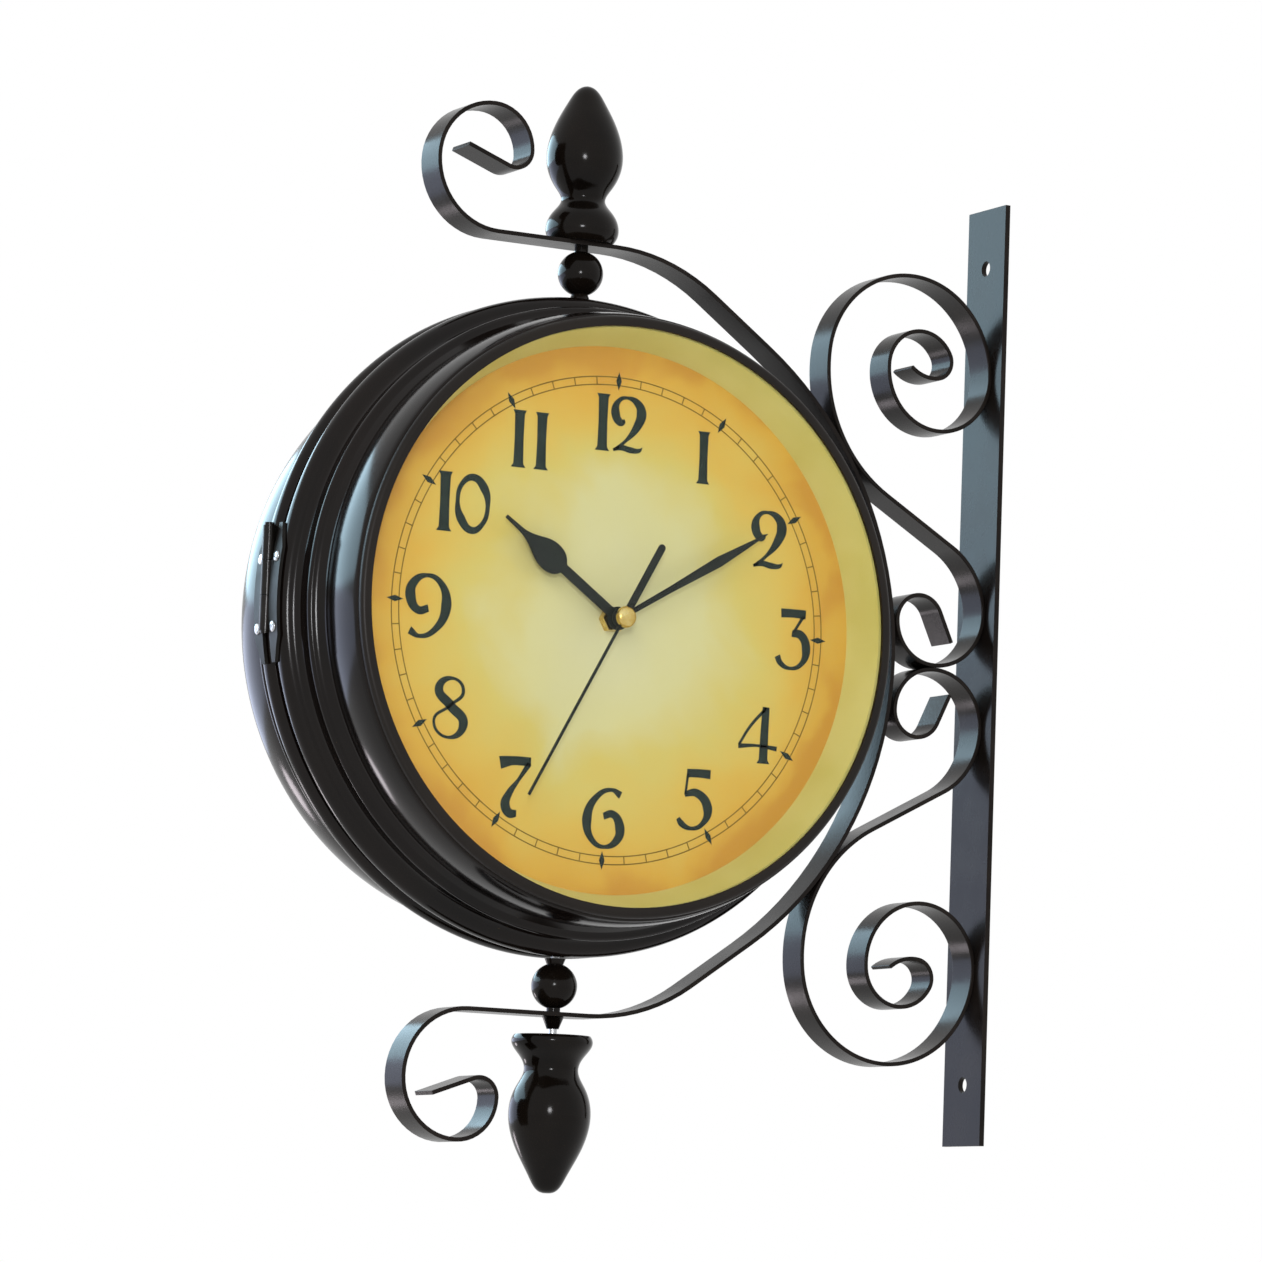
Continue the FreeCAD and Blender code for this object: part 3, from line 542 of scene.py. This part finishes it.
def screwSet(look, places, body, node):
    # each place is a seat point, the way the head faces and the slot's turn in degrees
    one = slottedScrew(look)
    bm = bmesh.new()
    for seat, facing, slotTurn in places:
        turn = Vector(facing).to_track_quat("Z", "Y").to_matrix().to_4x4()
        slot = Matrix.Rotation(radians(slotTurn), 4, "Z")
        join(bm, one, Matrix.Translation(seat) @ turn @ slot)
    one.free()
    addPiece("screws." + node, bm, steelBright, body, [node], headShape["sharpOver"])


def outward(degrees):
    # the way out from the clock's middle, along the dial
    return Vector((cos(radians(degrees)), 0, sin(radians(degrees))))


leafScrewLook = {"headR": 1.9 * mm, "headH": 0.8 * mm, "shankR": 0.9 * mm, "bite": 2.6 * mm,
                 "slotW": 0.45 * mm, "slotDepth": 0.35 * mm, "seatR": 116.75 * mm,
                 "lift": 1.7 * mm, "pitch": 24 * mm, "side": 5.9 * mm,
                 "slotTurns": (20, 75, 130, 55)}
turns = iter(leafScrewLook["slotTurns"])
for node, body, side in (("hinge_rear_screws", "case", 1), ("hinge_front_screws", "door", -1)):
    places = []
    for share in (-0.5, 0.5):
        z = leafScrewLook["lift"] + share * leafScrewLook["pitch"]
        out = Vector((-sqrt(leafScrewLook["seatR"] ** 2 - z ** 2), 0, z))
        across = Vector((0, side * leafScrewLook["side"], 0))
        places.append((clockMiddle + out + across, out.normalized(), next(turns)))
    screwSet(leafScrewLook, places, body, node)

# each slot is turned by a share of its screw's own degrees
dialScrewLook = {"headR": 2.0 * mm, "headH": 1.2 * mm, "shankR": 1.2 * mm, "bite": 5.0 * mm,
                 "slotW": 0.55 * mm, "slotDepth": 0.55 * mm, "slotShare": 0.6,
                 "reach": 99.1 * mm, "seat": 30.9 * mm, "degrees": lugShape["degrees"]}
bandScrewLook = {"headR": 2.2 * mm, "headH": 1.4 * mm, "shankR": 1.2 * mm, "bite": 4.3 * mm,
                 "slotW": 0.6 * mm, "slotDepth": 0.6 * mm, "slotShare": 0.4,
                 "reach": 110 * mm, "y": 4.4 * mm, "degrees": (45, 135, 225, 315)}
for node, body, side in (("front_dial_screws", "door", -1), ("rear_dial_screws", "case", 1)):
    places = []
    for degrees in dialScrewLook["degrees"]:
        across = Vector((0, side * dialScrewLook["seat"], 0))
        spot = clockMiddle + outward(degrees) * dialScrewLook["reach"] + across
        places.append((spot, (0, side, 0), degrees * dialScrewLook["slotShare"]))
    screwSet(dialScrewLook, places, body, node)
places = []
for degrees in bandScrewLook["degrees"]:
    across = Vector((0, bandScrewLook["y"], 0))
    spot = clockMiddle + outward(degrees) * bandScrewLook["reach"] + across
    places.append((spot, -outward(degrees), degrees * bandScrewLook["slotShare"]))
screwSet(bandScrewLook, places, "case", "band_screws")
print("hinge and screws done")


# Hands, brass nut and cap

handEdges = {"hour": {"edge": 0.16 * mm, "segments": 2},
             "minute": {"edge": 0.16 * mm, "segments": 2},
             "second": {"edge": 0.12 * mm, "segments": 2}}
nutEdge = {"edge": 0.3 * mm, "segments": 2}
# the outline is in shares of radius and height
capShape = {"radius": 3.75 * mm, "height": 2.4 * mm, "seat": 41.4 * mm, "steps": 48,
            "outline": [(0, 1), (0.35, 0.985), (0.62, 0.93), (0.84, 0.80), (0.96, 0.58),
                        (1, 0.34), (1, 0.12), (0.97, 0), (0, 0)], "sharpOver": 40}
for side, body in sideBody.items():
    for name, look in handEdges.items():
        node = side + "_" + name + "_hand"
        addRounded("hand", node, look, handGreen, side + "_" + name)
    addRounded("nut", side + "_shaft_nut", nutEdge, brassPolished, body)
    dome = sized(capShape["outline"], capShape["radius"], capShape["height"])
    cap = spunProfile(dome, capShape["steps"])
    move(cap, sideTurn[side] @ onFront(capShape["seat"]))
    addPiece("cap." + side, cap, brassPolished, side + "_second",
             [side + "_second_cap"], capShape["sharpOver"])
print("hands done")


# Dial numerals: brush strokes of changing width, in shares of the numeral's height

numeralSize = {"height": 20.5 * mm, "weight": 1.26, "thin": 0.012, "proud": 0.05 * mm,
               "face": 30.9 * mm, "smooth": 10, "gap": {"10": 0.07, "11": 0.20, "12": 0.07},
               "sharpOver": 30}
# middle of each numeral on the dial in mm, and its height as a share of the usual one
numeralPlaces = {"12": (1.1, 68.4, 0.97), "1": (34.6, 60.0, 0.90), "2": (61.8, 33.7, 1.0),
                 "3": (72.6, -0.6, 1.06), "4": (60.0, -35.1, 0.97), "5": (35.7, -59.7, 1.06),
                 "6": (0.0, -68.6, 1.06), "7": (-34.9, -60.5, 1.02), "8": (-60.6, -35.5, 1.06),
                 "9": (-70.4, -1.6, 1.12), "10": (-58.3, 34.9, 1.0), "11": (-33.8, 59.2, 0.97)}
# each numeral has its width and strokes of (across, up, stroke width); a loop closes on itself
numeralStrokes = {
    "1": (0.24, [("line", [(0.12, 0.0, 0.24), (0.12, 0.07, 0.165), (0.12, 0.5, 0.15),
                           (0.12, 0.93, 0.165), (0.12, 1.0, 0.22)])]),
    "2": (0.62, [("line", [(0.25, 0.56, 0.06), (0.16, 0.53, 0.13), (0.05, 0.70, 0.15),
                           (0.12, 0.91, 0.08), (0.28, 0.97, 0.055), (0.50, 0.88, 0.13),
                           (0.57, 0.72, 0.17), (0.50, 0.50, 0.14), (0.28, 0.22, 0.06),
                           (0.04, 0.03, 0.05)]),
                 ("line", [(0.03, 0.035, 0.05), (0.19, 0.085, 0.09), (0.38, 0.06, 0.10),
                           (0.55, 0.07, 0.07), (0.61, 0.13, 0.02)])]),
    "3": (0.62, [("line", [(0.10, 0.92, 0.13), (0.33, 0.93, 0.12), (0.56, 0.925, 0.13)]),
                 ("line", [(0.52, 0.90, 0.06), (0.43, 0.76, 0.05), (0.34, 0.62, 0.05)]),
                 ("line", [(0.31, 0.605, 0.10), (0.48, 0.585, 0.13), (0.585, 0.36, 0.14),
                           (0.50, 0.12, 0.08), (0.30, 0.035, 0.055), (0.11, 0.11, 0.09),
                           (0.05, 0.22, 0.10)])]),
    "4": (0.80, [("line", [(0.53, 0.0, 0.22), (0.53, 0.07, 0.15), (0.54, 0.5, 0.14),
                           (0.555, 0.9, 0.13), (0.56, 1.0, 0.12)]),
                 ("line", [(0.57, 0.985, 0.06), (0.25, 0.64, 0.055), (0.03, 0.30, 0.05)]),
                 ("line", [(0.02, 0.28, 0.08), (0.40, 0.31, 0.05), (0.80, 0.28, 0.08)])]),
    "5": (0.64, [("line", [(0.17, 0.92, 0.12), (0.40, 0.93, 0.12), (0.60, 0.925, 0.13)]),
                 ("line", [(0.19, 0.92, 0.05), (0.17, 0.75, 0.045), (0.15, 0.57, 0.05)]),
                 ("line", [(0.14, 0.58, 0.08), (0.36, 0.61, 0.12), (0.565, 0.38, 0.15),
                           (0.48, 0.13, 0.08), (0.28, 0.04, 0.06), (0.09, 0.11, 0.10),
                           (0.03, 0.19, 0.07)])]),
    "6": (0.76, [("line", [(0.68, 0.88, 0.11), (0.52, 0.955, 0.06), (0.26, 0.84, 0.09),
                           (0.085, 0.46, 0.15), (0.20, 0.13, 0.09), (0.42, 0.045, 0.06),
                           (0.64, 0.17, 0.12), (0.685, 0.36, 0.15), (0.55, 0.57, 0.11),
                           (0.38, 0.53, 0.10)])]),
    "7": (0.62, [("line", [(0.03, 0.88, 0.18), (0.25, 0.925, 0.13), (0.60, 0.93, 0.13)]),
                 ("line", [(0.57, 0.90, 0.09), (0.38, 0.62, 0.06), (0.21, 0.38, 0.11),
                           (0.15, 0.20, 0.15), (0.23, 0.07, 0.14), (0.36, 0.07, 0.10)])]),
    "8": (0.68, [("loop", [(0.38, 0.965, 0.05), (0.13, 0.80, 0.13), (0.34, 0.54, 0.14),
                           (0.58, 0.27, 0.14), (0.33, 0.035, 0.05), (0.06, 0.27, 0.05),
                           (0.34, 0.54, 0.05), (0.56, 0.78, 0.06)])]),
    "0": (0.66, [("loop", [(0.05, 0.52, 0.07), (0.13, 0.83, 0.08), (0.33, 0.945, 0.11),
                           (0.54, 0.78, 0.14), (0.615, 0.48, 0.075), (0.52, 0.17, 0.08),
                           (0.33, 0.055, 0.11), (0.12, 0.24, 0.14)])]),
}

nibCurve = bpy.data.curves.new("nib", "CURVE")
nibLine = nibCurve.splines.new("POLY")
nibLine.points.add(1)
nibLine.points[0].co = (-0.5, 0, 0, 1)
nibLine.points[1].co = (0.5, 0, 0, 1)
nib = bpy.data.objects.new("nib", nibCurve)


def strokeMesh(kind, points):
    # a flat brush stroke as a mesh, one numeral height tall
    curve = bpy.data.curves.new("stroke", "CURVE")
    curve.dimensions = "2D"
    curve.resolution_u = numeralSize["smooth"]
    curve.bevel_mode = "OBJECT"
    curve.bevel_object = nib
    spline = curve.splines.new("BEZIER")
    spline.bezier_points.add(len(points) - 1)
    spline.use_cyclic_u = kind == "loop"
    for point, (x, y, width) in zip(spline.bezier_points, points):
        point.co = (x, y, 0)
        point.radius = (width - numeralSize["thin"]) * numeralSize["weight"]
        point.handle_left_type = point.handle_right_type = "AUTO"
    holder = bpy.data.objects.new("stroke", curve)
    scene.collection.objects.link(holder)
    bpy.context.view_layer.update()
    drawn = holder.evaluated_get(bpy.context.evaluated_depsgraph_get())
    mesh = bpy.data.meshes.new_from_object(drawn)
    bpy.data.objects.remove(holder)
    bpy.data.curves.remove(curve)
    return mesh


def numeral(bm, text, x, y, share):
    # upright numeral with its middle at a point of the dial
    digits = [numeralStrokes[digit.replace("9", "6")] for digit in text]
    gap = numeralSize["gap"].get(text, 0)
    left = -(sum(width for width, strokes in digits) + gap * (len(text) - 1)) / 2
    middle = Matrix.Translation((x * mm, y * mm, 0))
    growth = Matrix.Scale(numeralSize["height"] * share, 4)
    for digit, (width, strokes) in zip(text, digits):
        for kind, points in strokes:
            mesh = strokeMesh(kind, points)
            if digit == "9":  # a 6 turned over
                mesh.transform(Matrix.Translation((width, 1, 0)) @ Matrix.Rotation(pi, 4, "Z"))
            mesh.transform(middle @ growth @ Matrix.Translation((left, -0.5, 0)))
            bm.from_mesh(mesh)
            bpy.data.meshes.remove(mesh)
        left += width + gap


def dialPieces(name, bm, material, proud):
    # lays a flat drawing on both dials
    thicken(bm, proud)
    for side, body in sideBody.items():
        drawing = bm.copy()
        move(drawing, sideTurn[side] @ onFront(numeralSize["face"]))
        addPiece(side + "." + name, drawing, material, body,
                 sharpOver=numeralSize["sharpOver"])
    bm.free()


numerals = bmesh.new()
for text, (x, y, share) in numeralPlaces.items():
    numeral(numerals, text, x, y, share)
dialPieces("numerals", numerals, numeralInk, numeralSize["proud"])
bpy.data.objects.remove(nib)
print("numerals done")


# Minute track: two rings, a tick at each minute, a diamond at each hour

trackSize = {"outer": 84.5 * mm, "inner": 81.7 * mm, "line": 0.42 * mm, "tick": 0.42 * mm,
             "proud": 0.03 * mm, "segments": 240}
diamondSize = {"outer": 86.4 * mm, "inner": 80.0 * mm, "width": 2.2 * mm}


def dialSpot(share, size):
    # a spot midway between two radii, at a share of the full turn
    reach = (size["inner"] + size["outer"]) / 2
    return Matrix.Rotation(2 * pi * share, 4, "Z") @ Matrix.Translation((0, reach, 0))


track = bmesh.new()
for radius in (trackSize["inner"], trackSize["outer"]):
    flatRing(track, radius, trackSize["line"], trackSize["segments"])
tickLength = trackSize["outer"] - trackSize["inner"]
for minute in range(60):
    if minute % 5:  # the hours have diamonds
        flatBar(track, dialSpot(minute / 60, trackSize), trackSize["tick"], tickLength)
dialPieces("minuteTrack", track, trackInk, trackSize["proud"])

diamonds = bmesh.new()
diamondHalf = (diamondSize["outer"] - diamondSize["inner"]) / 2
diamond = Matrix.Diagonal((diamondSize["width"] / 2, diamondHalf, 1, 1))
for hour in range(12):
    bmesh.ops.create_circle(diamonds, cap_ends=True, segments=4, radius=1,
                            matrix=dialSpot(hour / 12, diamondSize) @ diamond)
dialPieces("hourDiamonds", diamonds, numeralInk, numeralSize["proud"])
print("minute track done")


# Movement box, cell and setting knob inside the case

boxEdge = {"edge": 0.7 * mm, "segments": 2}
# foot, bow and collar are shares of the radius where the ends round off
cellShape = {"radius": 7.2 * mm, "half": 25.25 * mm, "nubR": 2.7 * mm, "nubH": 1.1 * mm,
             "nubEdge": 0.3 * mm, "foot": 0.86, "bow": 0.95, "collar": 0.84, "bowIn": 0.15 * mm,
             "sideIn": 0.6 * mm, "y": -21.6 * mm, "z": -18.5 * mm, "steps": 48, "sharpOver": 40}
knobShape = {"radius": 5.5 * mm, "height": 5 * mm, "teeth": 30, "cut": 0.93, "face": 14 * mm,
             "shaftR": 1.2 * mm, "shaftL": 3.3 * mm, "shaftSides": 24, "edge": 0.35 * mm,
             "segments": 2, "sharpOver": 35}
mouldShape = {"ringR": 8 * mm, "ringW": 1.2 * mm, "ringSides": 64, "mark": 23 * mm,
              "markR": 1.7 * mm, "markSides": 24, "signX": 22 * mm, "signY": -8.6 * mm,
              "signL": 2.6 * mm, "signW": 0.7 * mm, "proud": 0.4 * mm, "face": 14.3 * mm,
              "sharpOver": 35}


def cellMesh(shape):
    r, half, nub, edge = shape["radius"], shape["half"], shape["nubR"], shape["nubEdge"]
    bow, bowIn, sideIn = shape["bow"] * r, shape["bowIn"], shape["sideIn"]
    shoulder = half - shape["nubH"]
    bm = spunProfile([(0, -half), (shape["foot"] * r, -half), (bow, -half + bowIn),
                      (r, -half + sideIn), (r, shoulder - sideIn), (bow, shoulder - bowIn),
                      (shape["collar"] * r, shoulder), (nub, shoulder), (nub, half - edge),
                      (nub - edge, half), (0, half)], shape["steps"])
    seat = Matrix.Translation(clockMiddle + Vector((0, shape["y"], shape["z"])))
    move(bm, seat @ Matrix.Rotation(pi / 2, 4, "Y"))
    return bm


def knobMesh(shape):
    # every other edge of the rim is cut back for the knurl
    bm = bmesh.new()
    bmesh.ops.create_cone(bm, cap_ends=True, segments=shape["teeth"] * 2, depth=shape["height"],
                          radius1=shape["radius"], radius2=shape["radius"])
    for vert in bm.verts:
        angle = Vector((1, 0)).angle_signed(vert.co.xy) % (2 * pi)
        if round(angle / (pi / shape["teeth"])) % 2:
            vert.co.xy *= shape["cut"]
    caps = [e for f in bm.faces if len(f.verts) > 4 for e in f.edges]
    roundEdges(bm, caps, shape)
    shaftMiddle = Matrix.Translation((0, 0, (shape["height"] + shape["shaftL"]) / 2))
    bmesh.ops.create_cone(bm, cap_ends=True, segments=shape["shaftSides"], depth=shape["shaftL"],
                          radius1=shape["shaftR"], radius2=shape["shaftR"], matrix=shaftMiddle)
    move(bm, onFront(shape["face"] - shape["height"] / 2))
    return bm


def mouldMesh(shape):
    # moulded ring about the knob, pin marks and the cell's signs
    bm = bmesh.new()
    flatRing(bm, shape["ringR"], shape["ringW"], shape["ringSides"])
    for x in (-shape["mark"], shape["mark"]):
        bmesh.ops.create_circle(bm, cap_ends=True, segments=shape["markSides"],
                                radius=shape["markR"],
                                matrix=Matrix.Translation((x, shape["mark"], 0)))
    length, thin = shape["signL"], shape["signW"]
    minus, plus = [(length, thin)], [(length, thin), (thin, length)]
    for x, bars in ((-shape["signX"], minus), (shape["signX"], plus)):
        for barX, barY in bars:
            flatBar(bm, Matrix.Translation((x, shape["signY"], 0)), barX, barY)
    thicken(bm, -shape["proud"])
    move(bm, onFront(shape["face"]))
    return bm


for side, body in sideBody.items():
    addRounded("box", side + "_movement", boxEdge, boxPlastic, body)
    cell, knob, mould = cellMesh(cellShape), knobMesh(knobShape), mouldMesh(mouldShape)
    for bm in (cell, knob, mould):
        move(bm, sideTurn[side])
    addPiece("cell." + side, cell, cellWrap, body, [side + "_cell"],
             cellShape["sharpOver"])
    addPiece("knob." + side, knob, boxPlastic, side + "_setter",
             [side + "_knob"], knobShape["sharpOver"])
    addPiece("mould." + side, mould, boxPlastic, body,
             sharpOver=mouldShape["sharpOver"])
print("movements done")


# CAD pieces that keep their own shape

nodeFinish = {
    "case_band": bandBlack, "hinge_pin": hingeBlack, "spring_catch": steelBright,
    "top_finial": finialGloss, "bottom_finial": finialGloss, "top_ball": finialGloss,
    "bottom_ball": finialGloss, "cone_nut": finialGloss, "top_rod": steelBright,
    "bottom_rod": steelBright, "rod_washers": steelBright, "rod_nuts": steelBright,
    "glass": glassClear, "bezel_ring": bezelCream, "dial": dialPrint,
    "hour_tube": brassPolished, "minute_tube": brassPolished, "second_pin": steelBright,
}
for name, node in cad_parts.items():
    if not node.hide_render:
        plain = name.removeprefix("front_").removeprefix("rear_")
        node.material_slots[0].material = nodeFinish[plain]
print("nodes painted")


# Floor, white surroundings and soft lamps

floorLook = {"size": 60, "drop": 0.32, "dark": "#ecebe8", "light": "#f4f3f0", "cloudScale": 3,
             "rough": (0.75, 0.9), "ior": 1.3, "grainScale": 60, "grainStrength": 0.05,
             "grainDepth": 0.0005, "lift": 0.88}
worldLook = {"white": (1, 1, 1, 1), "ambient": 0.5}


def floorFinish(look):
    # pale for the camera, with the shadow kept
    finish = Finish(coatedFinish("floorPale", look))
    pale = finish.add("Emission", Color=worldLook["white"]).outputs["Emission"]
    share = finish.maths("MULTIPLY", finish.seenDirectly(), look["lift"])
    surface = finish.add("MixShader", share, finish.shader.outputs["BSDF"], pale)
    finish.show(surface.outputs["Shader"])
    return finish.owner


floorBm = bmesh.new()
bmesh.ops.create_grid(floorBm, x_segments=1, y_segments=1, size=floorLook["size"] / 2,
                      matrix=Matrix.Translation((0, 0, cadBox[0].z - floorLook["drop"])))
floorMesh = bpy.data.meshes.new("floor")
floorBm.to_mesh(floorMesh)
floorBm.free()
floorMesh.materials.append(floorFinish(floorLook))
floor = bpy.data.objects.new("floor", floorMesh)
scene.collection.objects.link(floor)

scene.world = bpy.data.worlds.new("studio")
studio = Finish(scene.world, "Background")
studio.feed("Color", worldLook["white"])
level = studio.spread(studio.seenDirectly(), (0, 1), (worldLook["ambient"], 1))
studio.feed("Strength", level)

# a mirrored lamp shows in gloss; one that lights nothing is there for the gloss alone
lampLooks = {
    "key": {"way": (-0.55, -0.75, 0.40), "away": 1.6, "size": 1.0, "watts": 6,
            "colour": (1.0, 0.99, 0.97), "mirrored": False},
    "fill": {"way": (0.75, -0.60, 0.15), "away": 1.9, "size": 0.9, "watts": 3,
             "colour": (1.0, 0.98, 0.95), "mirrored": False},
    "back": {"way": (0.30, 0.80, 0.50), "away": 1.7, "size": 1.0, "watts": 9,
             "colour": (1.0, 0.99, 0.97), "mirrored": False},
    "window": {"way": (-0.50, 0.82, 0.33), "away": 1.5, "size": 2.3, "tall": 0.6, "watts": 23,
               "colour": (0.55, 0.83, 1.0), "mirrored": True, "lights": False},
    "dusk": {"way": (-0.50, 0.82, -0.03), "away": 1.5, "size": 2.3, "tall": 0.55, "watts": 7,
             "colour": (0.60, 0.70, 1.0), "mirrored": True, "lights": False},
    "glow": {"way": (-0.27, 0.87, -0.41), "away": 1.1, "size": 0.2, "watts": 0.7,
             "colour": (1.0, 0.90, 0.96), "mirrored": True},
    "flash": {"way": (-0.46, -0.89, 0.06), "away": 2.0, "size": 0.32, "watts": 11,
              "colour": (0.97, 0.97, 1.0), "mirrored": True},
}
# the glasses mirror the white room, not the lamps
glassFree = bpy.data.collections.new("glassFree")
for side in sideBody:
    glassFree.objects.link(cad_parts[side + "_glass"])
for item in glassFree.collection_objects:
    item.light_linking.link_state = "EXCLUDE"
for name, look in lampLooks.items():
    lamp = bpy.data.lights.new(name, "AREA")
    lamp.shape = "ELLIPSE"
    lamp.size = look["size"]
    lamp.size_y = look.get("tall", look["size"])
    lamp.energy = look["watts"]
    lamp.color = look["colour"]
    holder = bpy.data.objects.new(name, lamp)
    way = Vector(look["way"]).normalized()
    holder.location = clockMiddle + way * look["away"]
    holder.rotation_mode = "QUATERNION"
    holder.rotation_quaternion = (-way).to_track_quat("-Z", "Y")
    holder.visible_camera = False
    holder.visible_glossy = look["mirrored"]
    holder.visible_diffuse = look.get("lights", True)
    holder.light_linking.receiver_collection = glassFree
    scene.collection.objects.link(holder)
print("light done")


# Camera at the viewing angle of the photograph

cameraLook = {"place": (-1.14257, -1.81437, -0.24126), "forward": (0.47862, 0.87017, 0.11716),
              "roll": 2.046, "lens": 169.3, "sensor": 36}
camera = bpy.data.cameras.new("camera")
camera.lens = cameraLook["lens"]
camera.sensor_width = cameraLook["sensor"]
cameraHolder = bpy.data.objects.new("camera", camera)
cameraHolder.location = cameraLook["place"]
cameraHolder.rotation_mode = "QUATERNION"
aim = Vector(cameraLook["forward"]).to_track_quat("-Z", "Y")
cameraHolder.rotation_quaternion = aim @ Quaternion((0, 0, 1), radians(cameraLook["roll"]))
scene.collection.objects.link(cameraHolder)
scene.camera = cameraHolder
